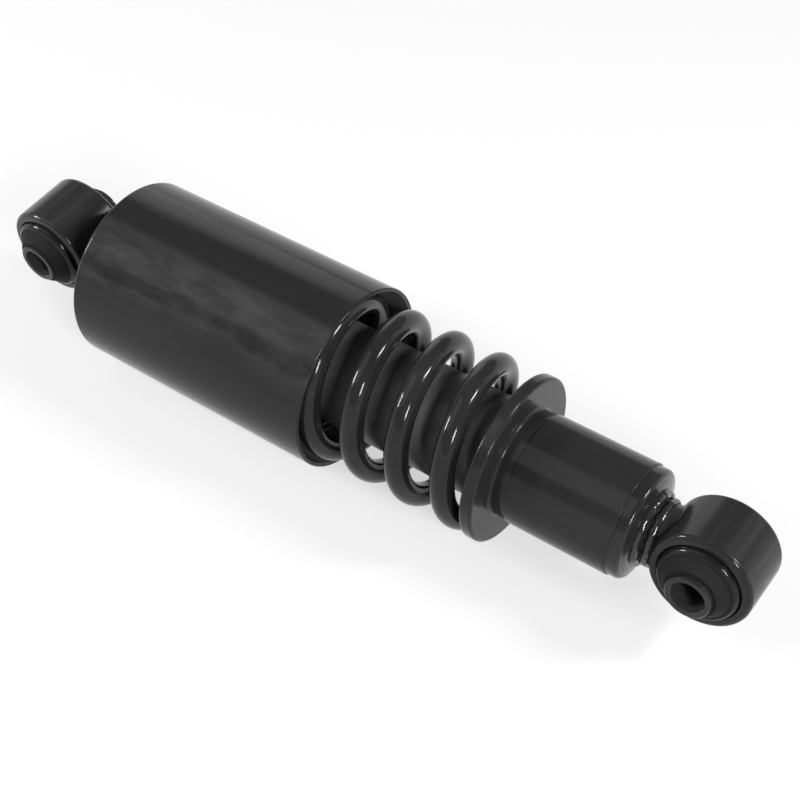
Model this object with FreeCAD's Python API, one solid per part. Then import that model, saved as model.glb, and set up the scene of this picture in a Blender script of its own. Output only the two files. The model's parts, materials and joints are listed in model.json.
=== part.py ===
import FreeCAD, Part
import math
import os

# Cab shock absorber: a twin-tube damper inside a coil spring, with an eye at each end.
# X runs along the damper from the lower eye (origin) to the upper eye, Y along the lower
# eye's bore, Z up. All sizes are in millimetres, with the damper at full extension.

# Driving dimensions of the whole damper
eye_to_eye = 392.0
stroke = 70.0
upper_eye_clock_deg = -10.0
seat_gap = 0.02
running_gap = 0.05

# Eyes, bushes and inner sleeves
lower_eye_r = 24.9
lower_eye_width = 33.0
upper_eye_r = 25.5
upper_eye_width = 35.4
eye_wall = 5.2
eye_edge = 2.4
eye_bore_chamfer = 0.8
lower_stem_r = 15.5
upper_stem_r = 13.0
stem_blend = 2.0
sleeve_r = 11.0
sleeve_bore_r = 8.1
sleeve_length = 55.0
sleeve_chamfer = 0.5
bush_lip = 8.0
bush_shoulder = 3.0
bush_tip_r = 12.6

# Lower tube and spring seat
stem_weld_x = 26.5
cap_boss_r = 15.6
cap_boss_blend = 3.0
cap_dome_x = 32.0
cap_dome_rise = 0.25
tube_end_x = 33.3
cap_rim_r = 27.4
cap_rim_edge = 2.8
cap_inner_x = 40.0
sleeve_tube_r = 28.1
sleeve_tube_edge = 0.5
sleeve_tube_top_x = 92.5
reservoir_r = 26.0
reservoir_wall = 2.0
reservoir_top_x = 245.0
reservoir_lip = 4.0
collar_r = 27.4
seat_back_x = 101.0
seat_face_x = 107.8
seat_r = 42.8
seat_edge = 1.6
seat_hub_r = 30.6
seat_hub_height = 4.0

# Coil spring
coil_r = 37.3
wire_r = 6.0
coil_pitch = 25.8
coil_start_deg = 260.9
lower_dead_deg = 100.0
upper_dead_deg = 180.0
grind_depth = 0.6

# Dust cover and its cap
cover_r = 48.6
cover_wall = 2.0
cover_mouth_x = 195.8
cover_end_x = 343.2
cover_edge = 1.9
cover_mouth_edge = 0.9
plate_thickness = 3.2
skirt_length = 13.0
skirt_wall = 2.0
plate_corner = 3.0

# Rod, guide and stops
rod_r = 9.0
rod_top_r = 7.0
rod_top_length = 17.0
rod_nose_r = 6.0
rod_nose_chamfer = 1.0
rod_room = 0.6
guide_bottom_x = 212.0
guide_shoulder_x = 222.0
guide_top_x = 240.0
seal_pocket_x = 231.0
seal_pocket_r = 15.0
guide_bush_r = 11.0
guide_bush_step = 1.5
seal_lip_slope = 1.5
seal_lip_land = 1.0
seal_waist = 1.6
seal_mouth = 0.8
seal_washer_thickness = 3.0
bumper_length = 8.0
bumper_r = 14.5
bumper_edge = 2.0
rebound_stop_length = 5.0
rebound_stop_r = 13.5
stop_gap = 0.3
bump_stop_r = 20.0
bump_stop_waist_r = 16.0
bump_stop_bulges = 3

# Pressure tube, piston and base valve
bore_r = 18.0
pressure_tube_wall = 1.5
rod_shoulder_x = 190.0
collar_flange = 2.5
collar_flange_r = 12.5
collar_hub = 3.5
collar_hub_r = 8.5
plate_t = 1.0
plate_room = 0.4
piston_plate_r = 16.4
base_plate_r = 15.5
piston_length = 14.0
piston_r = 17.4
band_length = 8.0
band_depth = 0.5
disc_t = 0.8
disc_count = 3
disc_step = 1.5
piston_disc_r = 13.0
piston_washer_r = 10.0
piston_washer_t = 2.5
nut_flats = 18.0
nut_length = 10.0
nose_beyond_nut = 1.5
outer_hole_circle_r = 14.7
inner_hole_circle_r = 10.6
valve_hole_r = 1.3
piston_holes = 6
valve_foot_x = 46.0
valve_top_x = 54.0
valve_foot_r = 15.0
valve_slot_width = 8.0
valve_slot_depth = 4.0
pin_r = 3.0
pin_hub_r = 5.0
pin_hub = 3.0
pin_head_r = 7.5
pin_head = 3.0
rivet_head_r = 6.0
rivet_head = 2.4
rivet_chamfer = 1.0
base_disc_r = 10.5
base_inner_circle_r = 8.0
base_outer_circle_r = 13.3
base_holes = 4
finger_thickness = 0.5
finger_flat = 1.5
finger_root = 1.0
finger_slit = 1.4
finger_count = 6
piston_finger_r = 15.5
base_finger_r = 14.5

ORIGIN = FreeCAD.Vector(0, 0, 0)
X_AXIS = FreeCAD.Vector(1, 0, 0)
Z_AXIS = FreeCAD.Vector(0, 0, 1)

# Places along the damper that several pieces share
plate_inner_x = cover_end_x - plate_thickness
bump_stop_x = reservoir_top_x + stroke + stop_gap
bumper_top_x = guide_bottom_x - stop_gap
rebound_stop_x = bumper_top_x - bumper_length
piston_top_x = rod_shoulder_x - collar_flange - collar_hub
piston_bottom_x = piston_top_x - piston_length
piston_washer_x = piston_bottom_x - disc_count * disc_t
nut_top_x = piston_washer_x - piston_washer_t
rod_nose_x = nut_top_x - nut_length - nose_beyond_nut


def turned(start, *steps):
    """Solid turned about X from its half section. A step (x, r) is a straight run to that
    point, and (xm, rm, x, r) is an arc through (xm, rm) that ends at (x, r)."""
    here = FreeCAD.Vector(start[0], 0, start[1])
    edges = []
    for step in steps + (start,):
        there = FreeCAD.Vector(step[-2], 0, step[-1])
        if len(step) == 2:
            edges.append(Part.makeLine(here, there))
        else:
            middle = FreeCAD.Vector(step[0], 0, step[1])
            edges.append(Part.Arc(here, middle, there).toShape())
        here = there
    section = Part.Face(Part.Wire(edges))
    return section.revolve(ORIGIN, X_AXIS, 360)


def ring(x_from, x_to, inner_r, outer_r):
    """Plain tube, ring or washer along X."""
    return turned((x_from, inner_r), (x_to, inner_r), (x_to, outer_r), (x_from, outer_r))


def eased(shape, size, *rims):
    """The shape with the named rims rounded, each rim given by its place (x, r)."""
    edges = []
    for edge in shape.Edges:
        if not isinstance(edge.Curve, Part.Circle):
            continue
        for x, r in rims:
            if abs(edge.Curve.Center.x - x) < 0.01 and abs(edge.Curve.Radius - r) < 0.01:
                edges.append(edge)
    return shape.makeFillet(size, edges)


def round_the_axis(tool, count, first_deg=0.0):
    """Copies of a tool spaced evenly about X."""
    copies = []
    for index in range(count):
        copy = tool.copy()
        copy.rotate(ORIGIN, X_AXIS, first_deg + index * 360.0 / count)
        copies.append(copy)
    return copies


def drilled(shape, x_from, x_to, circle_r, count, first_deg=0.0):
    """The shape with a circle of flow passages along X."""
    middle = FreeCAD.Vector(x_from, 0, circle_r)
    passage = Part.makeCylinder(valve_hole_r, x_to - x_from, middle, X_AXIS)
    return shape.cut(round_the_axis(passage, count, first_deg))


def in_eye(shape, upper):
    """A piece drawn on the X axis, turned to lie along the bore of an eye."""
    placed = shape.copy()
    placed.rotate(ORIGIN, Z_AXIS, 90)
    if upper:
        placed.rotate(ORIGIN, X_AXIS, upper_eye_clock_deg)
        placed.translate(FreeCAD.Vector(eye_to_eye, 0, 0))
    return placed


def eye_ring(ring_r, width):
    """Ring of an eye about the X axis, with rounded outer edges and no bore yet."""
    half = width / 2
    blank = Part.makeCylinder(ring_r, width, FreeCAD.Vector(-half, 0, 0), X_AXIS)
    return eased(blank, eye_edge, (-half, ring_r), (half, ring_r))


def eye(ring_r, width, stem_r, stem_length, upper):
    """Forged eye: a ring with a round stem that blends into it, its bore chamfered for the bush."""
    body = eye_ring(ring_r, width)
    body.rotate(ORIGIN, Z_AXIS, 90)
    stem = Part.makeCylinder(stem_r, stem_length, ORIGIN, X_AXIS)
    body = body.fuse(stem).removeSplitter()
    blend = []
    for edge in body.Edges:
        box = edge.BoundBox
        if box.XMin > ring_r / 2 and box.XMax < ring_r + 0.01 and box.YLength < 2.1 * stem_r:
            blend.append(edge)
    body = body.makeFillet(stem_blend, blend)
    half = width / 2
    ring_bore_r = ring_r - eye_wall
    bore = turned(
        (-half, 0),
        (-half, ring_bore_r + eye_bore_chamfer),
        (-half + eye_bore_chamfer, ring_bore_r),
        (half - eye_bore_chamfer, ring_bore_r),
        (half, ring_bore_r + eye_bore_chamfer),
        (half, 0),
    )
    bore.rotate(ORIGIN, Z_AXIS, 90)
    body = body.cut(bore)
    if upper:
        body.rotate(ORIGIN, Z_AXIS, 180)
        body.rotate(ORIGIN, X_AXIS, upper_eye_clock_deg)
        body.translate(FreeCAD.Vector(eye_to_eye, 0, 0))
    return body


def bush(ring_r, width, upper):
    """Rubber bush: a straight body in the ring and a coned collar with a soft shoulder each side."""
    half = width / 2
    outer_r = ring_r - eye_wall - seat_gap
    inner_r = sleeve_r + running_gap
    shoulder_r = outer_r - bush_shoulder
    soft = bush_shoulder * math.sqrt(0.5)
    tip = half + bush_lip
    body = turned(
        (-tip, inner_r),
        (tip, inner_r),
        (tip, bush_tip_r),
        (half + bush_shoulder, shoulder_r),
        (half + soft, outer_r - bush_shoulder + soft, half, outer_r),
        (-half, outer_r),
        (-half - soft, outer_r - bush_shoulder + soft, -half - bush_shoulder, shoulder_r),
        (-tip, bush_tip_r),
    )
    return in_eye(body, upper)


def bolt_sleeve(upper):
    """Inner sleeve of a bush, chamfered inside and out at both ends."""
    half = sleeve_length / 2
    chamfer = sleeve_chamfer
    body = turned(
        (-half + chamfer, sleeve_bore_r),
        (half - chamfer, sleeve_bore_r),
        (half, sleeve_bore_r + chamfer),
        (half, sleeve_r - chamfer),
        (half - chamfer, sleeve_r),
        (-half + chamfer, sleeve_r),
        (-half, sleeve_r - chamfer),
        (-half, sleeve_bore_r + chamfer),
    )
    return in_eye(body, upper)


def base_cap():
    """Forged end of the tube: a boss that the eye's stem is welded to, a low dome and a round rim."""
    quarter = math.sqrt(0.5)
    blend_x = cap_dome_x - cap_boss_blend
    blend_r = cap_boss_r + cap_boss_blend
    edge_x = tube_end_x + cap_rim_edge
    edge_r = cap_rim_r - cap_rim_edge
    dome_middle_x = (cap_dome_x + tube_end_x) / 2 - cap_dome_rise
    dome_middle_r = (blend_r + edge_r) / 2
    return turned(
        (stem_weld_x, 0),
        (stem_weld_x, cap_boss_r),
        (blend_x, cap_boss_r),
        (blend_x + cap_boss_blend * quarter, blend_r - cap_boss_blend * quarter, cap_dome_x, blend_r),
        (dome_middle_x, dome_middle_r, tube_end_x, edge_r),
        (edge_x - cap_rim_edge * quarter, edge_r + cap_rim_edge * quarter, edge_x, cap_rim_r),
        (cap_inner_x, cap_rim_r),
        (cap_inner_x, 0),
    )


def support_sleeve():
    """Thick tube round the damper, from the rim of the base cap up to the spring seat."""
    body = ring(cap_inner_x, sleeve_tube_top_x, reservoir_r + seat_gap, sleeve_tube_r)
    return eased(body, sleeve_tube_edge, (cap_inner_x, sleeve_tube_r))


def lower_spring_seat():
    """Seat plate with a collar behind it and a centring hub inside the coil."""
    bore = reservoir_r + seat_gap
    hub_x = seat_face_x + seat_hub_height
    body = turned(
        (sleeve_tube_top_x, bore),
        (hub_x, bore),
        (hub_x, seat_hub_r),
        (seat_face_x, seat_hub_r),
        (seat_face_x, seat_r),
        (seat_back_x, seat_r),
        (seat_back_x, collar_r),
        (sleeve_tube_top_x, collar_r),
    )
    body = eased(body, seat_edge, (seat_face_x, seat_r), (seat_back_x, seat_r))
    body = eased(body, seat_edge, (hub_x, seat_hub_r))
    return eased(body, seat_edge, (seat_back_x, collar_r))


def reservoir_tube():
    """Outer tube of the damper, its top edge rolled in over the seal washer."""
    inner_r = reservoir_r - reservoir_wall
    lip_r = inner_r - reservoir_lip
    body = turned(
        (cap_inner_x, inner_r),
        (reservoir_top_x - reservoir_wall, inner_r),
        (reservoir_top_x - reservoir_wall, lip_r),
        (reservoir_top_x, lip_r),
        (reservoir_top_x, reservoir_r),
        (cap_inner_x, reservoir_r),
    )
    return eased(body, reservoir_wall, (reservoir_top_x, reservoir_r))


def coil_spring():
    """Round-wire coil with a dead stretch at each end, ground flat where it bears."""
    lower_x = seat_face_x + wire_r - grind_depth
    upper_x = plate_inner_x - wire_r + grind_depth
    turns = (upper_x - lower_x) / coil_pitch
    end_deg = coil_start_deg + 360.0 * turns

    def wire_section(x, angle_deg):
        middle = FreeCAD.Vector(x, coil_r, 0)
        circle = Part.Wire(Part.makeCircle(wire_r, middle, Z_AXIS))
        circle.rotate(ORIGIN, X_AXIS, angle_deg)
        return circle

    path = Part.makeHelix(coil_pitch, upper_x - lower_x, coil_r)
    path.rotate(ORIGIN, FreeCAD.Vector(1, 1, 1), 120)
    path.rotate(ORIGIN, X_AXIS, coil_start_deg)
    path.translate(FreeCAD.Vector(lower_x, 0, 0))
    section = wire_section(lower_x, coil_start_deg)
    live = Part.Wire(path.Edges).makePipeShell([section], True, True)
    lower_dead = Part.Face(section).revolve(ORIGIN, X_AXIS, -lower_dead_deg)
    upper_section = wire_section(upper_x, end_deg)
    upper_dead = Part.Face(upper_section).revolve(ORIGIN, X_AXIS, upper_dead_deg)
    coil = live.fuse([lower_dead, upper_dead])
    room = Part.makeCylinder(cover_r, plate_inner_x - seat_face_x, FreeCAD.Vector(seat_face_x, 0, 0), X_AXIS)
    return coil.common(room)


def dust_cover():
    """Plain drawn tube, rounded at the closed end and open at the mouth."""
    inner_r = cover_r - cover_wall
    body = ring(cover_mouth_x, cover_end_x, inner_r, cover_r)
    body = eased(body, cover_mouth_edge, (cover_mouth_x, cover_r), (cover_mouth_x, inner_r))
    return eased(body, cover_edge, (cover_end_x, cover_r))


def cover_cap():
    """Pressed cup that closes the cover: a plate under the spring and a skirt in the tube."""
    skirt_r = cover_r - cover_wall - seat_gap
    skirt_x = cover_end_x - skirt_length
    body = turned(
        (plate_inner_x, rod_top_r + seat_gap),
        (cover_end_x, rod_top_r + seat_gap),
        (cover_end_x, skirt_r),
        (skirt_x, skirt_r),
        (skirt_x, skirt_r - skirt_wall),
        (plate_inner_x, skirt_r - skirt_wall),
    )
    return eased(body, plate_corner, (cover_end_x, skirt_r))


def bump_stop():
    """Soft block on the rod, waisted between bulges so that it folds up evenly."""
    bulge = (plate_inner_x - bump_stop_x) / bump_stop_bulges
    steps = [(bump_stop_x, bump_stop_waist_r)]
    for index in range(bump_stop_bulges):
        left = bump_stop_x + index * bulge
        steps.append((left + bulge / 2, bump_stop_r, left + bulge, bump_stop_waist_r))
    steps.append((plate_inner_x, rod_r + seat_gap))
    return turned((bump_stop_x, rod_r + seat_gap), *steps)


def piston_rod():
    """Rod with a nose for the piston below its shoulder and a spigot for the eye at the top."""
    top_x = plate_inner_x + rod_top_length
    body = turned(
        (rod_nose_x, 0),
        (rod_nose_x, rod_nose_r - rod_nose_chamfer),
        (rod_nose_x + rod_nose_chamfer, rod_nose_r),
        (rod_shoulder_x, rod_nose_r),
        (rod_shoulder_x, rod_r),
        (plate_inner_x, rod_r),
        (plate_inner_x, rod_top_r),
        (top_x, rod_top_r),
        (top_x, 0),
    )
    return body


def upper_eye():
    """Upper eye, its stem bored for the spigot of the rod."""
    socket_depth = rod_top_length - plate_thickness
    body = eye(upper_eye_r, upper_eye_width, upper_stem_r, eye_to_eye - cover_end_x, True)
    socket = Part.makeCylinder(rod_top_r + seat_gap, socket_depth, FreeCAD.Vector(cover_end_x, 0, 0), X_AXIS)
    return body.cut(socket)


def rod_guide():
    """Guide in the top of the tubes, with a spigot below and a pocket for the seal above."""
    flange_r = reservoir_r - reservoir_wall - seat_gap
    bush_seat_r = guide_bush_r + seat_gap
    rod_room_r = rod_r + rod_room
    return turned(
        (guide_bottom_x, rod_room_r),
        (guide_bottom_x + guide_bush_step, rod_room_r),
        (guide_bottom_x + guide_bush_step, bush_seat_r),
        (seal_pocket_x, bush_seat_r),
        (seal_pocket_x, seal_pocket_r),
        (guide_top_x, seal_pocket_r),
        (guide_top_x, flange_r),
        (guide_shoulder_x, flange_r),
        (guide_shoulder_x, bore_r - seat_gap),
        (guide_bottom_x, bore_r - seat_gap),
    )


def guide_bush():
    """Lined plain bearing that the rod slides in."""
    return ring(guide_bottom_x + guide_bush_step, seal_pocket_x, rod_r + running_gap, guide_bush_r)


def rod_seal():
    """Lip seal: a heel in the pocket, a waist, and a lip that wipes the rod."""
    heel_r = seal_pocket_r - seat_gap
    lip_r = rod_r + running_gap
    middle_x = (seal_pocket_x + guide_top_x) / 2
    lip_end = seal_lip_slope + seal_lip_land
    return turned(
        (seal_pocket_x, guide_bush_r),
        (seal_pocket_x + seal_lip_slope, lip_r),
        (seal_pocket_x + lip_end, lip_r),
        (middle_x, lip_r + seal_waist),
        (guide_top_x - lip_end, lip_r),
        (guide_top_x - seal_lip_slope, lip_r),
        (guide_top_x, lip_r + seal_mouth),
        (guide_top_x, heel_r),
        (seal_pocket_x, heel_r),
    )


def seal_washer():
    """Plate that keeps the seal down, held by the rolled top of the tube."""
    outer_r = reservoir_r - reservoir_wall - seat_gap
    return ring(guide_top_x, guide_top_x + seal_washer_thickness, rod_r + rod_room, outer_r)


def pressure_tube():
    """Inner tube that the piston runs in, between the base valve and the guide."""
    return ring(valve_foot_x, guide_shoulder_x, bore_r, bore_r + pressure_tube_wall)


def rebound_bumper():
    """Soft ring that meets the guide at full extension."""
    body = ring(rebound_stop_x, bumper_top_x, rod_r + seat_gap, bumper_r)
    return eased(body, bumper_edge, (bumper_top_x, bumper_r))


def rebound_stop():
    """Steel ring fixed on the rod under the bumper."""
    return ring(rebound_stop_x - rebound_stop_length, rebound_stop_x, rod_r + seat_gap, rebound_stop_r)


def piston_collar():
    """Stepped collar: a hub on the piston and a flange under the rod's shoulder."""
    hole_r = rod_nose_r + seat_gap
    flange_x = rod_shoulder_x - collar_flange
    return turned(
        (piston_top_x, hole_r),
        (rod_shoulder_x, hole_r),
        (rod_shoulder_x, collar_flange_r),
        (flange_x, collar_flange_r),
        (flange_x, collar_hub_r),
        (piston_top_x, collar_hub_r),
    )


def check_plate(seat_x, inner_r, outer_r, hole_circle_r, holes):
    """Flat ring that lies on a valve face, with holes over the metered passages."""
    plate = ring(seat_x, seat_x + plate_t, inner_r, outer_r)
    return drilled(plate, seat_x, seat_x + plate_t, hole_circle_r, holes)


def finger_spring(rim_x, clamp_x, inner_r, outer_r):
    """Thin coned washer whose rim presses a check plate, slit into fingers."""
    thin = finger_thickness
    flat_r = inner_r + finger_flat
    cone = turned(
        (clamp_x - thin, inner_r),
        (clamp_x - thin, flat_r),
        (rim_x, outer_r),
        (rim_x + thin, outer_r),
        (clamp_x, flat_r),
        (clamp_x, inner_r),
    )
    depth = 2 * (clamp_x - rim_x)
    corner = FreeCAD.Vector(rim_x - depth / 4, -finger_slit / 2, flat_r + finger_root)
    slit = Part.makeBox(depth, finger_slit, outer_r, corner)
    return cone.cut(round_the_axis(slit, finger_count))


def disc_stack(x_from, largest_r, hole_r):
    """Thin discs, one on another, each smaller than the one before it."""
    discs = []
    for index in range(disc_count):
        x = x_from - index * disc_t
        discs.append(ring(x - disc_t, x, hole_r, largest_r - index * disc_step))
    return Part.makeCompound(discs)


def piston():
    """Piston with a groove for its band and two circles of passages."""
    band_x = piston_bottom_x + (piston_length - band_length) / 2
    groove_r = piston_r - band_depth
    body = turned(
        (piston_bottom_x, rod_nose_r + seat_gap),
        (piston_top_x, rod_nose_r + seat_gap),
        (piston_top_x, piston_r),
        (band_x + band_length, piston_r),
        (band_x + band_length, groove_r),
        (band_x, groove_r),
        (band_x, piston_r),
        (piston_bottom_x, piston_r),
    )
    body = drilled(body, piston_bottom_x, piston_top_x, outer_hole_circle_r, piston_holes)
    return drilled(body, piston_bottom_x, piston_top_x, inner_hole_circle_r, piston_holes, 180.0 / piston_holes)


def piston_band():
    """Low-friction band in the piston's groove."""
    band_x = piston_bottom_x + (piston_length - band_length) / 2
    groove_r = piston_r - band_depth
    return ring(band_x, band_x + band_length, groove_r + seat_gap, bore_r - running_gap)


def piston_nut():
    """Hexagon nut with turned corners at both ends."""
    corner_r = nut_flats / math.sqrt(3)
    low_x = nut_top_x - nut_length
    corners = []
    for index in range(6):
        angle = math.radians(60 * index)
        corners.append(FreeCAD.Vector(low_x, corner_r * math.cos(angle), corner_r * math.sin(angle)))
    hexagon = Part.Face(Part.makePolygon(corners + corners[:1]))
    blank = hexagon.extrude(FreeCAD.Vector(nut_length, 0, 0))
    chamfer = corner_r - nut_flats / 2
    envelope = turned(
        (low_x, rod_nose_r + seat_gap),
        (nut_top_x, rod_nose_r + seat_gap),
        (nut_top_x, corner_r - chamfer),
        (nut_top_x - chamfer, corner_r),
        (low_x + chamfer, corner_r),
        (low_x, corner_r - chamfer),
    )
    return blank.common(envelope)


def base_valve_body():
    """Valve body in the foot of the pressure tube, on a slotted skirt that stands on the cap."""
    foot_r = bore_r + pressure_tube_wall
    body = turned(
        (cap_inner_x, valve_foot_r),
        (valve_foot_x, valve_foot_r),
        (valve_foot_x, pin_r + seat_gap),
        (valve_top_x, pin_r + seat_gap),
        (valve_top_x, bore_r - seat_gap),
        (valve_foot_x, bore_r - seat_gap),
        (valve_foot_x, foot_r),
        (cap_inner_x, foot_r),
    )
    corner = FreeCAD.Vector(cap_inner_x, -valve_slot_width / 2, 0)
    slot = Part.makeBox(valve_slot_depth, valve_slot_width, 2 * foot_r, corner)
    body = body.cut(round_the_axis(slot, base_holes, 180.0 / base_holes))
    body = drilled(body, valve_foot_x, valve_top_x, base_outer_circle_r, 2 * base_holes)
    return drilled(body, valve_foot_x, valve_top_x, base_inner_circle_r, base_holes)


def base_valve_pin():
    """Headed pin through the valve body, riveted over below the discs."""
    rivet_top = valve_foot_x - disc_count * disc_t
    hub_top = valve_top_x + pin_hub
    return turned(
        (rivet_top - rivet_head, 0),
        (rivet_top - rivet_head, rivet_head_r - rivet_chamfer),
        (rivet_top - rivet_head + rivet_chamfer, rivet_head_r),
        (rivet_top, rivet_head_r),
        (rivet_top, pin_r),
        (valve_top_x, pin_r),
        (valve_top_x, pin_hub_r),
        (hub_top, pin_hub_r),
        (hub_top, pin_head_r),
        (hub_top + pin_head, pin_head_r),
        (hub_top + pin_head, 0),
    )


pieces = {
    "lower_eye": eye(lower_eye_r, lower_eye_width, lower_stem_r, stem_weld_x, False),
    "lower_bush": bush(lower_eye_r, lower_eye_width, False),
    "lower_sleeve": bolt_sleeve(False),
    "base_cap": base_cap(),
    "support_sleeve": support_sleeve(),
    "lower_spring_seat": lower_spring_seat(),
    "coil_spring": coil_spring(),
    "reservoir_tube": reservoir_tube(),
    "pressure_tube": pressure_tube(),
    "base_valve_body": base_valve_body(),
    "base_valve_discs": disc_stack(valve_foot_x, base_disc_r, pin_r + seat_gap),
    "base_valve_pin": base_valve_pin(),
    "base_check_plate": check_plate(
        valve_top_x, pin_hub_r + plate_room, base_plate_r, base_inner_circle_r, base_holes),
    "base_check_spring": finger_spring(
        valve_top_x + plate_t, valve_top_x + pin_hub, pin_hub_r + seat_gap, base_finger_r),
    "rod_guide": rod_guide(),
    "guide_bush": guide_bush(),
    "rod_seal": rod_seal(),
    "seal_washer": seal_washer(),
    "piston_rod": piston_rod(),
    "rebound_stop": rebound_stop(),
    "rebound_bumper": rebound_bumper(),
    "piston_collar": piston_collar(),
    "piston": piston(),
    "piston_band": piston_band(),
    "piston_check_plate": check_plate(
        piston_top_x, collar_hub_r + plate_room, piston_plate_r, inner_hole_circle_r, piston_holes),
    "piston_check_spring": finger_spring(
        piston_top_x + plate_t, piston_top_x + collar_hub, collar_hub_r + seat_gap, piston_finger_r),
    "piston_discs": disc_stack(piston_bottom_x, piston_disc_r, rod_nose_r + seat_gap),
    "piston_washer": ring(nut_top_x, piston_washer_x, rod_nose_r + seat_gap, piston_washer_r),
    "piston_nut": piston_nut(),
    "bump_stop": bump_stop(),
    "cover_cap": cover_cap(),
    "dust_cover": dust_cover(),
    "upper_eye": upper_eye(),
    "upper_bush": bush(upper_eye_r, upper_eye_width, True),
    "upper_sleeve": bolt_sleeve(True),
}

os.makedirs("parts", exist_ok=True)
for name, shape in pieces.items():
    shape.exportStep("parts/" + name + ".step")
    print(name, len(shape.Solids), shape.isValid(), round(shape.Volume, 1))
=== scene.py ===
import json
import math

import bpy
from mathutils import Matrix, Quaternion, Vector


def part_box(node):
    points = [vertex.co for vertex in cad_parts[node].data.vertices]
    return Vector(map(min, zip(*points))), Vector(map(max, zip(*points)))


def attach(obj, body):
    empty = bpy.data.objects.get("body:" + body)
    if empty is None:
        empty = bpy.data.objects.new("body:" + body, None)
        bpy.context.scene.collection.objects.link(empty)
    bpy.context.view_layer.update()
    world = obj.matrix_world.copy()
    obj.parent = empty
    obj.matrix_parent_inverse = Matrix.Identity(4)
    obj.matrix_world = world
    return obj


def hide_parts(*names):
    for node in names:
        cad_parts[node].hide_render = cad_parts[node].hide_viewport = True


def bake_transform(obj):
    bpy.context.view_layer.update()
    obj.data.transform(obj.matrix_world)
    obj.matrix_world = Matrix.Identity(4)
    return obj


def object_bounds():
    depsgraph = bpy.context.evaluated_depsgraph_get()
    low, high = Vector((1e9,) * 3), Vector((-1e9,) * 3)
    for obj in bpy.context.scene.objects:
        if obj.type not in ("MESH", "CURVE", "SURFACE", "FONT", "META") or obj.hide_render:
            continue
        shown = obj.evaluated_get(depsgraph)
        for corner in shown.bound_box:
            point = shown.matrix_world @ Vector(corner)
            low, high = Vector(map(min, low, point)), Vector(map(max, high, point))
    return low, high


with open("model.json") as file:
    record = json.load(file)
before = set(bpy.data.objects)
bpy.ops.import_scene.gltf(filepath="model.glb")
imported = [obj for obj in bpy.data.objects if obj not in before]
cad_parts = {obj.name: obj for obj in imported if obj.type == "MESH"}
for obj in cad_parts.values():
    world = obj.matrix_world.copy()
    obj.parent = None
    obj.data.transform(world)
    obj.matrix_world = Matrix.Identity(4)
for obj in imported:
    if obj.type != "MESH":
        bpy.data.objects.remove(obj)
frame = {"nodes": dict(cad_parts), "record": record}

solid_box = [list(corner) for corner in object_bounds()]


# Eyes: two forged steel rings, each with a short round stem, under one coat of black enamel.
# The coat is glossy, with a fine orange peel, soft clouds and a few dull rubbed spots. The skin
# round each ring is duller than its turned faces, and keeps the fine lines of its drawing.
def grey(tone):
    """A neutral colour of that tone."""
    return (tone, tone, tone, 1.0)


enamel_shadow = grey(0.017)
enamel_body = grey(0.022)
enamel_dust = grey(0.032)
peel_cells = 520.0
peel_depth = 0.00002
soft_cloud_cells = 34.0
rub_cells = 150.0
rub_edge = 0.12
rub_dulling = 0.16


def new_finish(name):
    """An empty node material."""
    finish = bpy.data.materials.new(name)
    finish.use_nodes = True
    finish.node_tree.nodes.clear()
    return finish


def lay(finish, kind, sockets, **settings):
    """One shader node: its settings, then a value or a feeding output for each socket named."""
    made = finish.node_tree.nodes.new(kind)
    for key, value in settings.items():
        setattr(made, key, value)
    for key, value in sockets.items():
        if isinstance(value, bpy.types.NodeSocket):
            finish.node_tree.links.new(value, made.inputs[key])
        else:
            made.inputs[key].default_value = value
    return made


def place_on(finish, stretch=(1.0, 1.0, 1.0)):
    """The surface point in the damper's own frame, stretched along the axes."""
    here = lay(finish, "ShaderNodeTexCoord", {}).outputs["Object"]
    return lay(finish, "ShaderNodeMapping", {"Vector": here, "Scale": stretch}).outputs["Vector"]


def grain(finish, place, cells, detail=2.0, roughness=0.5):
    """Soft noise, so many cells to the metre."""
    sockets = {"Vector": place, "Scale": cells, "Detail": detail, "Roughness": roughness}
    return lay(finish, "ShaderNodeTexNoise", sockets).outputs["Fac"]


def between(finish, value, low, high, out_low=0.0, out_high=1.0):
    """A value moved from one range into another."""
    sockets = {"Value": value, "From Min": low, "From Max": high, "To Min": out_low, "To Max": out_high}
    return lay(finish, "ShaderNodeMapRange", sockets).outputs["Result"]


def reckon(finish, operation, *values):
    """A sum on numbers."""
    return lay(finish, "ShaderNodeMath", dict(enumerate(values)), operation=operation).outputs["Value"]


def measure(finish, operation, *places, gives="Value"):
    """A sum on places that gives a number, or a new place where it gives a Vector."""
    return lay(finish, "ShaderNodeVectorMath", dict(enumerate(places)), operation=operation).outputs[gives]


def tones(finish, value, *stops):
    """A colour ramp over a value, each stop a place and a colour."""
    made = lay(finish, "ShaderNodeValToRGB", {"Fac": value})
    ramp = made.color_ramp
    ramp.elements[0].position, ramp.elements[0].color = stops[0]
    ramp.elements[1].position, ramp.elements[1].color = stops[-1]
    for position, colour in stops[1:-1]:
        ramp.elements.new(position).color = colour
    return made.outputs["Color"]


def laid_over(finish, share, under, top):
    """One colour over another, by a share."""
    return lay(finish, "ShaderNodeMixRGB", {"Fac": share, "Color1": under, "Color2": top}).outputs["Color"]


def relief(finish, height, depth):
    """A bump of that depth in metres."""
    sockets = {"Height": height, "Strength": 1.0, "Distance": depth}
    return lay(finish, "ShaderNodeBump", sockets).outputs["Normal"]


def surface(finish, **sockets):
    """The shader that closes a finish."""
    named = {key.replace("_", " "): value for key, value in sockets.items()}
    shader = lay(finish, "ShaderNodeBsdfPrincipled", named)
    lay(finish, "ShaderNodeOutputMaterial", {"Surface": shader.outputs["BSDF"]})
    return finish


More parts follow.
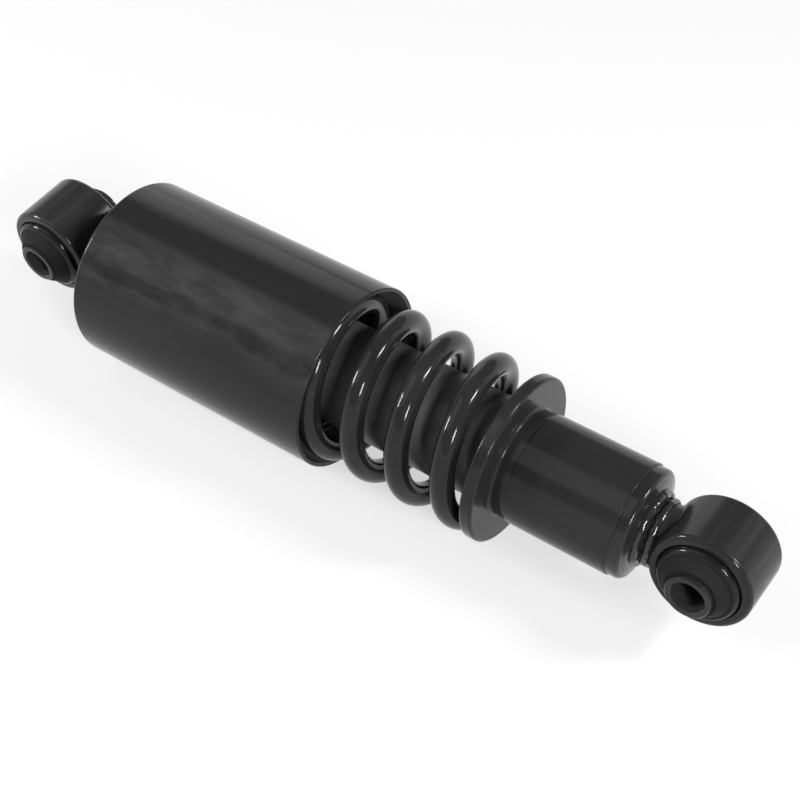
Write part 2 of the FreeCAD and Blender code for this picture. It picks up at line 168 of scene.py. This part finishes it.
def coat(finish, gloss, stretch, rubbed):
    """Colour, roughness and relief of black enamel: clouds, rubbed spots and orange peel."""
    drawn = place_on(finish, stretch)
    clouds = grain(finish, drawn, soft_cloud_cells, detail=4.0, roughness=0.6)
    spots = grain(finish, drawn, rub_cells, detail=6.0, roughness=0.7)
    colour = tones(finish, clouds, (0.30, enamel_shadow), (0.52, enamel_body), (0.78, enamel_dust))
    dull = between(finish, spots, rubbed, rubbed + rub_edge, gloss, gloss + rub_dulling)
    return colour, dull, relief(finish, grain(finish, place_on(finish), peel_cells), peel_depth)


bores = {mount["name"]: mount for mount in frame["record"]["mounts"]}
line_cells = 170.0
line_length = 40.0
line_grey = grey(0.043)
line_edge = (0.50, 0.70)
ring_stretch = (1.0, 0.15, 1.0)
skin_start = 0.0004
skin_full = 0.0001
face_gloss = 0.14
skin_gloss = 0.24


def from_bolt(finish, eye):
    """How far the surface lies from the middle line of that eye's bolt bore."""
    bore = bores[eye + "_eye_bore"]
    lever = measure(finish, "SUBTRACT", place_on(finish), bore["pos_m"], gives="Vector")
    across = measure(finish, "CROSS_PRODUCT", lever, bore["axis"], gives="Vector")
    return measure(finish, "LENGTH", across)


def drawn_lines(finish, eye):
    """Fine lines along that eye's bolt, left in the skin of the ring by its drawing."""
    bore = bores[eye + "_eye_bore"]
    turn = math.atan2(bore["axis"][2], bore["axis"][1])
    sockets = {
        "Vector": place_on(finish), "Location": bore["pos_m"],
        "Rotation": (turn, 0.0, 0.0), "Scale": (1.0, line_length, 1.0),
    }
    drawn = lay(finish, "ShaderNodeMapping", sockets, vector_type="TEXTURE").outputs["Vector"]
    return between(finish, grain(finish, drawn, line_cells, detail=5.0, roughness=0.7), *line_edge)


def forged_eye(name, eye, ring_r, shine):
    """Enamel over a forging: the skin round the ring is lined and duller than its faces and edges."""
    finish = new_finish(name)
    colour, dull, skin = coat(finish, gloss=0.0, stretch=ring_stretch, rubbed=0.58)
    on_skin = between(finish, from_bolt(finish, eye), ring_r - skin_start, ring_r - skin_full)
    lines = reckon(finish, "MULTIPLY", on_skin, drawn_lines(finish, eye))
    lined = laid_over(finish, lines, colour, line_grey)
    rough = reckon(finish, "ADD", between(finish, on_skin, 0.0, 1.0, face_gloss, skin_gloss), dull)
    return surface(finish, Base_Color=lined, Roughness=rough, Specular_IOR_Level=shine, Normal=skin)


def wear_finish(name, finish):
    """Gives a carried-over solid its finish."""
    for place in frame["nodes"][name].material_slots:
        place.material = finish


lower_ring_r = 0.0249
upper_ring_r = 0.0255
wear_finish("lower_eye", forged_eye("lower_eye_enamel", "lower", lower_ring_r, shine=0.21))
wear_finish("upper_eye", forged_eye("upper_eye_enamel", "upper", upper_ring_r, shine=0.30))


# Bushes: black rubber moulded round the inner sleeve and pressed into the ring of each eye.
# The cone of rubber is dull and bloomed; its rim took the gloss when the eyes were sprayed.
rubber_deep = grey(0.009)
rubber_bloom = grey(0.017)
bloom_cells = 60.0
pore_depth = 0.00003
bush_pores = 1500.0
bush_rim_r = 0.0176
bush_rim_full_r = 0.0186
cone_gloss = 0.78
rim_gloss = 0.16


def bloom_on(finish):
    """Where the pale bloom of rubber stands, in clouds."""
    return grain(finish, place_on(finish), bloom_cells, detail=5.0, roughness=0.65)


def rubber_skin(finish, bloom, pores):
    """Colour and relief of moulded rubber, with so many pores to the metre."""
    colour = tones(finish, bloom, (0.35, rubber_deep), (0.80, rubber_bloom))
    return colour, relief(finish, grain(finish, place_on(finish), pores, detail=3.0), pore_depth)


for eye in ("lower", "upper"):
    bush_rubber = new_finish(eye + "_bush_rubber")
    colour, skin = rubber_skin(bush_rubber, bloom_on(bush_rubber), bush_pores)
    out_r = from_bolt(bush_rubber, eye)
    dull = between(bush_rubber, out_r, bush_rim_r, bush_rim_full_r, cone_gloss, rim_gloss)
    surface(bush_rubber, Base_Color=colour, Roughness=dull, Specular_IOR_Level=0.22, Normal=skin)
    wear_finish(eye + "_bush", bush_rubber)


# Bolt sleeves: thick steel tube, turned to length, chamfered and blackened in hot oxide.
# Fine turning marks cover each end, and the bore is painted paler, as painted light that lifts its shade.
oxide_dark = grey(0.016)
oxide_thin = (0.034, 0.034, 0.033, 1.0)
# A paler grey inside the bore: painted light against the shade in the bore.
bore_painted_light = grey(0.045)
bore_fade = (0.0001, 0.0006)
sleeve_marks = 1200.0
sleeve_gloss = 0.12
sleeve_dulling = 0.10
oxide_cells = 90.0
mark_edge = (0.25, 0.75)
mark_depth = 0.00001
metal_shine = 0.28


def machined(finish, dark, pale, marks, gloss, dulling):
    """Colour, roughness and relief of machined metal: close tool marks and clouds of oxide."""
    place = place_on(finish)
    cuts = grain(finish, place, marks, detail=4.0, roughness=0.7)
    clouds = grain(finish, place, oxide_cells, detail=5.0, roughness=0.6)
    colour = tones(finish, clouds, (0.35, dark), (0.75, pale))
    dull = between(finish, cuts, *mark_edge, gloss, gloss + dulling)
    return colour, dull, relief(finish, cuts, mark_depth)


for eye in ("lower", "upper"):
    sleeve_oxide = new_finish(eye + "_sleeve_oxide")
    oxide, dull, skin = machined(
        sleeve_oxide, oxide_dark, oxide_thin, sleeve_marks, sleeve_gloss, sleeve_dulling,
    )
    bore_r = bores[eye + "_eye_bore"]["dims"]["r_mm"] / 1000.0
    wall_start, wall_end = [bore_r + depth for depth in bore_fade]
    # Painted light: the bore wall takes the paler grey, so that its shade reads lighter.
    in_bore = between(sleeve_oxide, from_bolt(sleeve_oxide, eye), wall_start, wall_end, 1.0, 0.0)
    colour = laid_over(sleeve_oxide, in_bore, oxide, bore_painted_light)
    surface(sleeve_oxide, Base_Color=colour, Roughness=dull, Specular_IOR_Level=metal_shine, Normal=skin)
    wear_finish(eye + "_sleeve", sleeve_oxide)


# Base cap and support sleeve: a forged end with a boss and a dome, and the thick drawn tube that
# carries the seat. Both are enamelled with the rest. The tube's coat is drawn out along its length.
def enamel(name, gloss, shine, stretch=(1.0, 1.0, 1.0), rubbed=0.62):
    """Plain black enamel."""
    finish = new_finish(name)
    colour, dull, skin = coat(finish, gloss, stretch, rubbed)
    return surface(finish, Base_Color=colour, Roughness=dull, Specular_IOR_Level=shine, Normal=skin)


forging_enamel = enamel("forging_enamel", gloss=0.15, shine=0.28)
tube_enamel = enamel("tube_enamel", gloss=0.15, shine=0.19, stretch=(0.25, 1.0, 1.0))
wear_finish("base_cap", forging_enamel)
wear_finish("support_sleeve", tube_enamel)


# Lower stem welds: two beads laid by hand in overlapping drops, under a thick coat of enamel. One
# joins the stem of the eye to the boss of the base cap, one fills the corner at the boss's foot.
boss_r = 0.0156
boss_foot = 0.0047
boss_corner = 0.0014
stem_sink = 0.0004
stem_throat = 0.0022
foot_throat = 0.0026
foot_lean = math.radians(-45.0)
drop_doublings = 4
drop_length = 2.5
drop_height = 0.85
bead_grid = 0.14
pool_size = 2.2
pool_swell = 0.45
settle_rounds = 16
weld_enamel = enamel("weld_enamel", gloss=0.10, shine=0.50)


def weld_bead(name, seam_x, seam_r, throat, lean):
    """A bead round the damper's axis: one drop copied round the seam, then run together unevenly."""
    bpy.ops.object.select_all(action="DESELECT")
    drop_at = (seam_x, 0.0, seam_r)
    bpy.ops.mesh.primitive_uv_sphere_add(segments=16, ring_count=10, radius=throat, location=drop_at)
    bead = bpy.context.object
    bead.name = name
    bead.scale = (1.0, drop_length, drop_height)
    bead.rotation_euler = (0.0, lean, 0.0)
    bpy.ops.object.transform_apply(location=True, rotation=True, scale=True)
    bpy.ops.object.mode_set(mode="EDIT")
    bpy.ops.mesh.select_all(action="SELECT")
    for doubling in range(drop_doublings):
        turn = math.tau / 2 ** (doubling + 1)
        bpy.ops.mesh.duplicate()
        bpy.ops.transform.rotate(value=turn, orient_axis="X", center_override=(0.0, 0.0, 0.0))
        bpy.ops.mesh.select_all(action="SELECT")
    bpy.ops.object.mode_set(mode="OBJECT")
    run = bead.modifiers.new("run_together", "REMESH")
    run.mode = "VOXEL"
    run.voxel_size = throat * bead_grid
    bpy.ops.object.modifier_apply(modifier=run.name)
    pools = bpy.data.textures.new(name + "_pools", "CLOUDS")
    pools.noise_scale = throat * pool_size
    swell = bead.modifiers.new("swell", "DISPLACE")
    swell.texture = pools
    swell.strength = throat * pool_swell
    bpy.ops.object.modifier_apply(modifier=swell.name)
    settle = bead.modifiers.new("settle", "SMOOTH")
    settle.factor = 0.5
    settle.iterations = settle_rounds
    bpy.ops.object.modifier_apply(modifier=settle.name)
    bpy.ops.object.shade_smooth()
    bead.data.materials.append(weld_enamel)
    return bead


boss_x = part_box("base_cap")[0].x
foot_x = boss_x + boss_foot
stem_weld = weld_bead("lower_stem_weld", boss_x, boss_r - stem_sink, stem_throat, lean=0.0)
foot_weld = weld_bead("boss_foot_weld", foot_x, boss_r + boss_corner, foot_throat, lean=foot_lean)
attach(stem_weld, "damper_body")
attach(foot_weld, "damper_body")


# Lower spring seat: a turned steel plate with a collar behind it and a hub inside the coil,
# pushed onto the support sleeve and enamelled with it.
seat_enamel = enamel("seat_enamel", gloss=0.15, shine=0.19)
wear_finish("lower_spring_seat", seat_enamel)


# Base valve: a sintered iron body with its riveted pin, thin spring steel discs, a check plate
# and a finger spring, cut from sheet and coned, that presses the plate down and flattens as it
# lifts. The valve stands in the foot of the pressure tube and isn't painted.
iron_dark = grey(0.12)
iron_pale = grey(0.24)
blued_dark = (0.24, 0.25, 0.29, 1.0)
blued_pale = (0.40, 0.41, 0.43, 1.0)
bright_dark = (0.38, 0.38, 0.39, 1.0)
bright_pale = (0.56, 0.56, 0.57, 1.0)
metal_dulling = 0.15


def turned_metal(name, dark, pale, metal, gloss, marks):
    """Machined metal or plastic, with so many tool marks to the metre."""
    finish = new_finish(name)
    colour, dull, skin = machined(finish, dark, pale, marks, gloss, metal_dulling)
    return surface(
        finish, Base_Color=colour, Metallic=metal, Roughness=dull,
        Specular_IOR_Level=metal_shine, Normal=skin,
    )


sintered_iron = turned_metal("sintered_iron", iron_dark, iron_pale, metal=0.8, gloss=0.50, marks=2200.0)
blued_steel = turned_metal("blued_steel", blued_dark, blued_pale, metal=1.0, gloss=0.25, marks=900.0)
bright_steel = turned_metal("bright_steel", bright_dark, bright_pale, metal=1.0, gloss=0.28, marks=1400.0)
wear_finish("base_valve_body", sintered_iron)
wear_finish("base_valve_pin", bright_steel)
wear_finish("base_valve_discs", blued_steel)
wear_finish("base_check_plate", blued_steel)

pin_hub_r = 0.0050
sheet_t = 0.0005
clamped_width = 0.0015
finger_root = 0.0010
finger_count = 6
finger_sectors = 8
slit_share = 0.25
sharp_edge = math.radians(35.0)


def finger_spring(node, hole_r):
    """A coned washer slit into fingers, clamped round its hole, its rim at the far end of that piece's
    box.
    """
    low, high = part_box(node)
    clamp_x = high.x - sheet_t / 2
    rim_x = low.x + sheet_t / 2
    rim_r = high.y
    clamp_r = hole_r + clamped_width
    root_r = clamp_r + finger_root
    root_x = clamp_x + (rim_x - clamp_x) * finger_root / (rim_r - clamp_r)
    sectors = finger_count * finger_sectors
    bpy.ops.object.select_all(action="DESELECT")
    bpy.ops.mesh.primitive_circle_add(
        vertices=sectors, radius=hole_r,
        location=(clamp_x, 0.0, 0.0), rotation=(0.0, math.radians(90.0), 0.0),
    )
    washer = bpy.context.object
    washer.name = node + "_steel"
    bpy.ops.object.transform_apply(location=True, rotation=True, scale=True)
    bpy.ops.object.mode_set(mode="EDIT")
    bpy.ops.mesh.select_all(action="SELECT")
    bpy.ops.transform.rotate(value=math.pi / sectors, orient_axis="X", center_override=(0.0, 0.0, 0.0))
    here_x, here_r = clamp_x, hole_r
    for next_x, next_r in ((clamp_x, clamp_r), (root_x, root_r), (rim_x, rim_r)):
        bpy.ops.mesh.extrude_edges_move(TRANSFORM_OT_translate={"value": (next_x - here_x, 0.0, 0.0)})
        wider = next_r / here_r
        bpy.ops.transform.resize(value=(1.0, wider, wider), center_override=(0.0, 0.0, 0.0))
        here_x, here_r = next_x, next_r
    bpy.ops.mesh.select_all(action="DESELECT")
    bpy.ops.mesh.select_mode(type="FACE")
    bpy.ops.object.mode_set(mode="OBJECT")
    for face in washer.data.polygons:
        turn = (math.atan2(face.center.z, face.center.y) - math.pi / 2) * finger_count / math.tau
        in_slit = abs(turn - round(turn)) * finger_sectors < slit_share
        face.select = in_slit and math.hypot(face.center.y, face.center.z) > root_r
    bpy.ops.object.mode_set(mode="EDIT")
    bpy.ops.mesh.delete(type="FACE")
    bpy.ops.mesh.select_mode(type="VERT")
    bpy.ops.mesh.select_all(action="SELECT")
    bpy.ops.mesh.normals_make_consistent(inside=False)
    bpy.ops.object.mode_set(mode="OBJECT")
    thicken = washer.modifiers.new("sheet", "SOLIDIFY")
    thicken.thickness = sheet_t
    thicken.offset = 0.0
    bpy.ops.object.modifier_apply(modifier=thicken.name)
    bpy.ops.object.shade_smooth_by_angle(angle=sharp_edge)
    washer.data.materials.append(blued_steel)
    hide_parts(node)
    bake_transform(washer)


finger_spring("base_check_spring", pin_hub_r)


# Pressure tube: cold-drawn steel, honed inside, left bright and oiled. It stands on the base
# valve and is held down by the rod guide.
honed_dark = grey(0.40)
honed_pale = (0.55, 0.55, 0.56, 1.0)
honed_steel = turned_metal("honed_steel", honed_dark, honed_pale, metal=1.0, gloss=0.20, marks=700.0)
wear_finish("pressure_tube", honed_steel)


# Reservoir tube: seam-welded steel tube, rolled in over the seal washer at the top. It shows
# between the coils, in their shade; its grey is painted far paler than enamel, as painted light.
# Painted light: a pale grey in place of black enamel, to lift the shade between the coils.
painted_light_tube_dark = grey(0.080)
painted_light_tube_pale = grey(0.125)
painted_light_tube_grey = turned_metal(
    "painted_light_tube_grey", painted_light_tube_dark, painted_light_tube_pale, metal=0.0, gloss=0.30, marks=800.0,
)
wear_finish("reservoir_tube", painted_light_tube_grey)


# Rod guide, guide bush, seal and washer: a sintered guide with a bronze-backed bearing, a
# rubber lip seal and a plain steel washer that the rolled edge of the tube holds down.
bronze_dark = (0.40, 0.25, 0.12, 1.0)
bronze_pale = (0.62, 0.42, 0.22, 1.0)
bloom_edge = (0.3, 0.8)
bloom_dulling = 0.18


def rubber(name, gloss, pores):
    """Moulded rubber with a fine skin, duller where it has bloomed."""
    finish = new_finish(name)
    bloom = bloom_on(finish)
    colour, skin = rubber_skin(finish, bloom, pores)
    dull = between(finish, bloom, *bloom_edge, gloss, gloss + bloom_dulling)
    return surface(finish, Base_Color=colour, Roughness=dull, Specular_IOR_Level=0.28, Normal=skin)


bearing_bronze = turned_metal(
    "bearing_bronze", bronze_dark, bronze_pale, metal=1.0, gloss=0.30, marks=1600.0,
)
seal_rubber = rubber("seal_rubber", gloss=0.34, pores=1800.0)
wear_finish("rod_guide", sintered_iron)
wear_finish("guide_bush", bearing_bronze)
wear_finish("rod_seal", seal_rubber)
wear_finish("seal_washer", bright_steel)


# Piston rod: hardened steel, ground, hard-chromed and polished, with a nose for the piston and
# a spigot that is welded into the upper eye.
chrome_dark = (0.62, 0.62, 0.64, 1.0)
chrome_pale = (0.74, 0.74, 0.76, 1.0)
hard_chrome = turned_metal("hard_chrome", chrome_dark, chrome_pale, metal=1.0, gloss=0.06, marks=500.0)
wear_finish("piston_rod", hard_chrome)


# Piston set: a sintered piston with a plastic band, its discs, check plate and finger spring,
# a stepped collar, a washer and a nut, with a stop ring and a rubber bumper above it.
band_dark = (0.08, 0.14, 0.11, 1.0)
band_pale = (0.15, 0.24, 0.19, 1.0)
collar_hub_r = 0.0085
band_plastic = turned_metal("band_plastic", band_dark, band_pale, metal=0.0, gloss=0.45, marks=1000.0)
wear_finish("piston", sintered_iron)
wear_finish("piston_band", band_plastic)
wear_finish("rebound_bumper", seal_rubber)
for bright_piece in ("rebound_stop", "piston_collar", "piston_washer", "piston_nut"):
    wear_finish(bright_piece, bright_steel)
for thin_piece in ("piston_check_plate", "piston_discs"):
    wear_finish(thin_piece, blued_steel)
finger_spring("piston_check_spring", collar_hub_r)


# Coil spring: round spring wire wound hot, right-handed, its last stretch at each end laid
# flat and ground square. It stands on the seat and bears on the cover's cap. Thick gloss enamel.
wire_r = 0.0060
coil_r = 0.0373
coil_pitch = 0.0258
coil_start = math.radians(260.9)
lower_dead = math.radians(100.0)
upper_dead = math.radians(180.0)
grind_depth = 0.0006
wire_sides = 28
steps_per_turn = 60
weld_gap = 0.00001

coil_low, coil_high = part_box("coil_spring")
wire_low_x = coil_low.x + wire_r - grind_depth
wire_high_x = coil_high.x - wire_r + grind_depth
coil_turns = (wire_high_x - wire_low_x) / coil_pitch

bpy.ops.object.select_all(action="DESELECT")
bpy.ops.mesh.primitive_circle_add(
    vertices=wire_sides, radius=wire_r,
    location=(wire_low_x, coil_r * math.cos(coil_start), coil_r * math.sin(coil_start)),
    rotation=(coil_start, 0.0, 0.0),
)
spring = bpy.context.object
spring.name = "coil_spring_wire"
bpy.ops.object.transform_apply(location=True, rotation=True, scale=True)
wind = spring.modifiers.new("wind", "SCREW")
wind.axis = "X"
wind.angle = math.tau * coil_turns
wind.screw_offset = wire_high_x - wire_low_x
wind.steps = round(steps_per_turn * coil_turns)
wind.render_steps = wind.steps
bpy.ops.object.modifier_apply(modifier=wind.name)


def pick_open_rim(at_x):
    """Selects the open rim of the wire whose middle stands at that place along the damper."""
    bpy.ops.object.mode_set(mode="EDIT")
    bpy.ops.mesh.select_mode(type="EDGE")
    bpy.ops.mesh.select_all(action="DESELECT")
    bpy.ops.mesh.select_non_manifold(extend=False, use_boundary=True)
    bpy.ops.object.mode_set(mode="OBJECT")
    for edge in spring.data.edges:
        ends = [spring.data.vertices[index].co for index in edge.vertices]
        if abs((ends[0].x + ends[1].x) / 2 - at_x) > 2 * wire_r:
            edge.select = False
    for vertex in spring.data.vertices:
        vertex.select = vertex.select and abs(vertex.co.x - at_x) < 2 * wire_r
    bpy.ops.object.mode_set(mode="EDIT")


for at_x, sweep in ((wire_low_x, lower_dead), (wire_high_x, -upper_dead)):
    pick_open_rim(at_x)
    dead_steps = round(steps_per_turn * abs(sweep) / math.tau)
    bpy.ops.mesh.spin(steps=dead_steps, angle=sweep, center=(0.0, 0.0, 0.0), axis=(1.0, 0.0, 0.0))
    bpy.ops.mesh.edge_face_add()
bpy.ops.mesh.select_mode(type="VERT")
for plane_x, keeps_above in ((coil_low.x, True), (coil_high.x, False)):
    bpy.ops.mesh.select_all(action="SELECT")
    bpy.ops.mesh.bisect(
        plane_co=(plane_x, 0.0, 0.0), plane_no=(1.0, 0.0, 0.0), use_fill=True,
        clear_inner=keeps_above, clear_outer=not keeps_above,
    )
bpy.ops.mesh.select_all(action="SELECT")
bpy.ops.mesh.remove_doubles(threshold=weld_gap)
bpy.ops.mesh.normals_make_consistent(inside=False)
bpy.ops.object.mode_set(mode="OBJECT")
bpy.ops.object.shade_smooth_by_angle(angle=sharp_edge)

spring_enamel = enamel("spring_enamel", gloss=0.11, shine=0.24)
spring.data.materials.append(spring_enamel)
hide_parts("coil_spring")
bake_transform(spring)


# Bump stop: a microcellular foam block on the rod under the cap, waisted so that it folds.
# Matte, with open pores.
bump_foam = rubber("bump_foam", gloss=0.62, pores=700.0)
wear_finish("bump_stop", bump_foam)


# Cover cap and dust cover: a pressed cup that the top of the spring bears on, welded into a
# drawn tube that is open at the mouth. Both are enamelled; the tube has grey primer inside, painted
# paler as painted light that lifts the shade in the mouth. Pale patches on the side facing the lamps
# are partly scuff marks and partly a painted sheen, and handling has knocked chips off the rim at
# its closed end.
cover_inner_r = 0.0466
primer_edge = (0.0002, 0.0004)
# Grey primer inside the tube, painted paler as painted light that lifts the shade in the mouth.
primer_and_painted_light_grey = grey(0.34)
# The patches on one side are partly scuff marks and partly a painted sheen, on the side facing the lamps.
sheen_flank = (0.0, 0.70, 0.71)
sheen_flank_edge = (0.0452, 0.0474)
scuff_and_sheen_cells = 130.0
scuff_and_sheen_stretch = (0.28, 1.0, 1.0)
scuff_and_sheen_edge = (0.40, 0.66)
scuff_and_sheen_grey = grey(0.050)
cover_rim = 0.0030
knock_cells = 28.0
knock_edge = (0.45, 0.60)
knock_pull = (0.10, 0.34)
chip_cells = 260.0
chip_edge = (0.78, 0.82)
chip_grey = grey(0.20)
cover_end_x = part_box("dust_cover")[1].x

cover_enamel = new_finish("cover_enamel")
colour, dull, skin = coat(cover_enamel, gloss=0.15, stretch=(0.12, 1.0, 1.0), rubbed=0.56)
place = place_on(cover_enamel)

# Painted sheen with scuff marks: lighter patches only on the side that faces the lamps.
on_sheen_flank = between(cover_enamel, measure(cover_enamel, "DOT_PRODUCT", place, sheen_flank), *sheen_flank_edge)
drawn = place_on(cover_enamel, scuff_and_sheen_stretch)
patches = grain(cover_enamel, drawn, scuff_and_sheen_cells, detail=6.0, roughness=0.68)
scuffs_and_sheen = reckon(cover_enamel, "MULTIPLY", on_sheen_flank, between(cover_enamel, patches, *scuff_and_sheen_edge))
scuffed_and_sheened = laid_over(cover_enamel, scuffs_and_sheen, colour, scuff_and_sheen_grey)

along = lay(cover_enamel, "ShaderNodeSeparateXYZ", {"Vector": place}).outputs["X"]
near_end = between(cover_enamel, along, cover_end_x - cover_rim, cover_end_x)
knocks = between(cover_enamel, grain(cover_enamel, place, knock_cells), *knock_edge, *knock_pull)
worn_end = reckon(cover_enamel, "MULTIPLY", near_end, knocks)
flakes = grain(cover_enamel, place, chip_cells, detail=5.0, roughness=0.6)
chips = between(cover_enamel, reckon(cover_enamel, "ADD", worn_end, flakes), *chip_edge)
chipped = laid_over(cover_enamel, chips, scuffed_and_sheened, chip_grey)

# Painted light, partly primer: the inside of the tube takes the pale grey, lifting the shade in the mouth.
from_axis = measure(cover_enamel, "LENGTH", place_on(cover_enamel, (0.0, 1.0, 1.0)))
primer_start, primer_end = [cover_inner_r + depth for depth in primer_edge]
inside = between(cover_enamel, from_axis, primer_start, primer_end, 1.0, 0.0)
primer_and_painted_light = laid_over(cover_enamel, inside, chipped, primer_and_painted_light_grey)

surface(cover_enamel, Base_Color=primer_and_painted_light, Roughness=dull, Specular_IOR_Level=0.20, Normal=skin)
wear_finish("cover_cap", forging_enamel)
wear_finish("dust_cover", cover_enamel)


# Upper stem weld: the same hand-laid bead under the same thick enamel, where the stem of the
# upper eye stands on the cover's cap and is joined to it.
upper_stem_r = 0.0130
upper_stand = 0.0008
upper_throat = 0.0024
upper_seam_r = upper_stem_r + upper_stand
upper_weld = weld_bead("upper_stem_weld", cover_end_x, upper_seam_r, upper_throat, lean=0.0)
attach(upper_weld, "rod_and_cover")


# Stage: a wide pale floor under the damper, and a white room that is darker overhead in mirrors.
# The floor keeps the shadow; its own glow only brings it to white, and more so far away.
floor_size = 8.0
floor_at = (0.17, 0.0, solid_box[0][2])
floor_grey = grey(0.42)
near_floor, far_floor = 0.6, 2.4
near_glow, far_glow = 0.60, 0.96
white = grey(1.0)
middle = Vector((0.19, 0.0, 0.0))


def seen_share(finish):
    """One on the rays that see, straight, mirrored or through glass, and none on those that light."""
    path = lay(finish, "ShaderNodeLightPath", {}).outputs
    mirrored = reckon(finish, "MAXIMUM", path["Is Camera Ray"], path["Is Glossy Ray"])
    return reckon(finish, "MAXIMUM", mirrored, path["Is Transmission Ray"])


bpy.ops.object.select_all(action="DESELECT")
bpy.ops.mesh.primitive_plane_add(size=floor_size, location=floor_at)
floor = bpy.context.object
floor.name = "floor"
floor_paper = new_finish("floor_paper")
from_damper = measure(floor_paper, "LENGTH", place_on(floor_paper))
white_share = between(floor_paper, from_damper, near_floor, far_floor, near_glow, far_glow)
glow_amount = reckon(floor_paper, "MULTIPLY", seen_share(floor_paper), white_share)
paper = lay(floor_paper, "ShaderNodeBsdfDiffuse", {"Color": floor_grey})
glow = lay(floor_paper, "ShaderNodeEmission", {"Color": white, "Strength": glow_amount})
both = lay(floor_paper, "ShaderNodeAddShader", {0: paper.outputs["BSDF"], 1: glow.outputs["Emission"]})
lay(floor_paper, "ShaderNodeOutputMaterial", {"Surface": both.outputs["Shader"]})
floor.data.materials.append(floor_paper)

wall_top = (0.25, white)
ceiling = (0.29, grey(0.28))
fill_strength = 0.12
room = bpy.data.worlds.new("white_room")
bpy.context.scene.world = room
room.use_nodes = True
room.node_tree.nodes.clear()
facing = lay(room, "ShaderNodeTexCoord", {}).outputs["Generated"]
height = lay(room, "ShaderNodeSeparateXYZ", {"Vector": facing}).outputs["Z"]
straight = lay(room, "ShaderNodeLightPath", {}).outputs["Is Camera Ray"]
seen_tone = laid_over(room, straight, tones(room, height, wall_top, ceiling), white)
wall = lay(room, "ShaderNodeBackground", {"Color": seen_tone, "Strength": 1.0}).outputs["Background"]
fill = lay(room, "ShaderNodeBackground", {"Color": white, "Strength": fill_strength}).outputs["Background"]
either = lay(room, "ShaderNodeMixShader", {0: seen_share(room), 1: fill, 2: wall})
lay(room, "ShaderNodeOutputWorld", {"Surface": either.outputs["Shader"]})


def soft_lamp(name, toward, distance, width, length, watts):
    """An area lamp that hangs in that direction from the damper's middle, its length round the damper."""
    bpy.ops.object.select_all(action="DESELECT")
    facing = Vector(toward).normalized()
    along = Vector((1.0, 0.0, 0.0)).cross(facing).normalized()
    bpy.ops.object.light_add(type="AREA", location=middle + facing * distance)
    lamp = bpy.context.object
    lamp.name = name
    lamp.rotation_euler = Matrix((along.cross(facing), along, facing)).transposed().to_euler()
    lamp.data.shape = "RECTANGLE"
    lamp.data.size = width
    lamp.data.size_y = length
    lamp.data.energy = watts


soft_lamp("overhead_soft_box", (0.45, 0.40, 0.80), distance=1.8, width=1.3, length=1.3, watts=5.0)
soft_lamp("front_left_lamp", (0.80, 0.43, 0.42), distance=2.0, width=0.30, length=0.45, watts=20.0)
soft_lamp("front_right_lamp", (-0.72, 0.49, 0.50), distance=2.0, width=0.30, length=0.45, watts=20.0)
soft_lamp("back_right_lamp", (-0.72, -0.30, 0.63), distance=2.0, width=0.26, length=0.50, watts=20.0)
soft_lamp("back_right_strip", (-0.58, -0.68, 0.45), distance=2.0, width=0.12, length=0.60, watts=0.5)
soft_lamp("back_left_soft_box", (0.60, -0.60, 0.45), distance=2.0, width=0.90, length=0.90, watts=3.0)


# Camera: a short tele lens from the lower end, looking down on the damper. Its place, aim, roll
# and lens were fitted to the outline in the photo.
camera_at = Vector((-0.112063, 0.433954, 0.469109))
camera_aim = Vector((0.170194, 0.0, 0.000290))
camera_roll = math.radians(3.3266)
lens_mm = 64.264
sensor_mm = 36.0
nearest_seen = 0.01
bpy.ops.object.camera_add(location=camera_at)
camera = bpy.context.object
camera.data.lens = lens_mm
camera.data.sensor_width = sensor_mm
camera.data.clip_start = nearest_seen
level = (camera_aim - camera_at).to_track_quat("-Z", "Y")
camera.rotation_euler = (level @ Quaternion((0.0, 0.0, 1.0), camera_roll)).to_euler()
bpy.context.scene.camera = camera
bpy.context.scene.view_settings.view_transform = "Standard"
